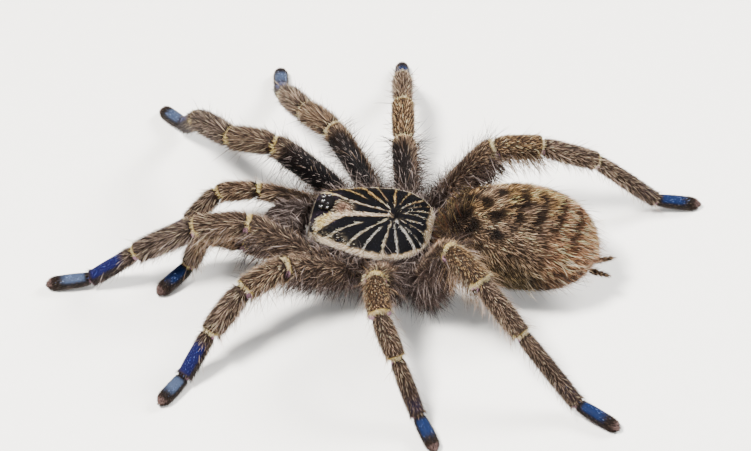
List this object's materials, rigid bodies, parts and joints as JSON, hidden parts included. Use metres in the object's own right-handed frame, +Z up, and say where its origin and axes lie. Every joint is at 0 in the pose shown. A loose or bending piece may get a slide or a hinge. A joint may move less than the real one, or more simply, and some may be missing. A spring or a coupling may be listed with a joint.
{
  "type": "blue-footed baboon tarantula",
  "caption": "Life-size still model of a blue-footed baboon tarantula, standing with its legs spread, brown and hairy with a rayed black and gold carapace.",
  "frame": {"origin": "on the floor, in the middle of the box that holds the whole animal", "axes": "-Y is the way the head points, +X the animal's left, +Z up"},
  "size_m": [0.0722, 0.087, 0.0175],
  "materials": {
    "leg_coat": "warm brown cuticle under short lying hairs, dark on the femora, with pale cream rings at the joints",
    "foot_blue": "iridescent blue hair pads on the feet, pale blue on the two front pairs and deep blue behind",
    "metatarsus_violet": "violet-blue sheen on a dark ground",
    "carapace_cuticle": "velvety black with cream and gold rays from the fovea and a pale fringe along the margin",
    "abdomen_coat": "golden brown with black spots in front, dark bars behind and a reddish tail end",
    "jaw_coat": "grey-brown, fuzzy",
    "underside_cuticle": "dark brown, dull",
    "fang_gloss": "black, polished",
    "eye_gloss": "black glossy lenses on a dark mound"
  },
  "bodies": {
    "root": {"abdomen": "abdomen_coat", "carapace": "carapace_cuticle", "chelicera_left": "jaw_coat", "chelicera_right": "jaw_coat", "eye_tubercle": "eye_gloss", "fang_left": "fang_gloss", "fang_right": "fang_gloss", "leg_1_left_femur": "leg_coat", "leg_1_left_metatarsus": "metatarsus_violet", "leg_1_left_patella": "leg_coat", "leg_1_left_tarsus": "foot_blue", "leg_1_left_tibia": "leg_coat", "leg_1_right_femur": "leg_coat", "leg_1_right_metatarsus": "metatarsus_violet", "leg_1_right_patella": "leg_coat", "leg_1_right_tarsus": "foot_blue", "leg_1_right_tibia": "leg_coat", "leg_2_left_femur": "leg_coat", "leg_2_left_metatarsus": "metatarsus_violet", "leg_2_left_patella": "leg_coat", "leg_2_left_tarsus": "foot_blue", "leg_2_left_tibia": "leg_coat", "leg_2_right_femur": "leg_coat", "leg_2_right_metatarsus": "metatarsus_violet", "leg_2_right_patella": "leg_coat", "leg_2_right_tarsus": "foot_blue", "leg_2_right_tibia": "leg_coat", "leg_3_left_femur": "leg_coat", "leg_3_left_metatarsus": "leg_coat", "leg_3_left_patella": "leg_coat", "leg_3_left_tarsus": "foot_blue", "leg_3_left_tibia": "leg_coat", "leg_3_right_femur": "leg_coat", "leg_3_right_metatarsus": "leg_coat", "leg_3_right_patella": "leg_coat", "leg_3_right_tarsus": "foot_blue", "leg_3_right_tibia": "leg_coat", "leg_4_left_femur": "leg_coat", "leg_4_left_metatarsus": "leg_coat", "leg_4_left_patella": "leg_coat", "leg_4_left_tarsus": "foot_blue", "leg_4_left_tibia": "leg_coat", "leg_4_right_femur": "leg_coat", "leg_4_right_metatarsus": "leg_coat", "leg_4_right_patella": "leg_coat", "leg_4_right_tarsus": "foot_blue", "leg_4_right_tibia": "leg_coat", "palp_left_femur": "leg_coat", "palp_left_patella": "leg_coat", "palp_left_tarsus": "foot_blue", "palp_left_tibia": "leg_coat", "palp_right_femur": "leg_coat", "palp_right_patella": "leg_coat", "palp_right_tarsus": "foot_blue", "palp_right_tibia": "leg_coat", "spinneret_left": "underside_cuticle", "spinneret_right": "underside_cuticle", "sternum_and_coxae": "underside_cuticle"}
  },
  "joints": []
}
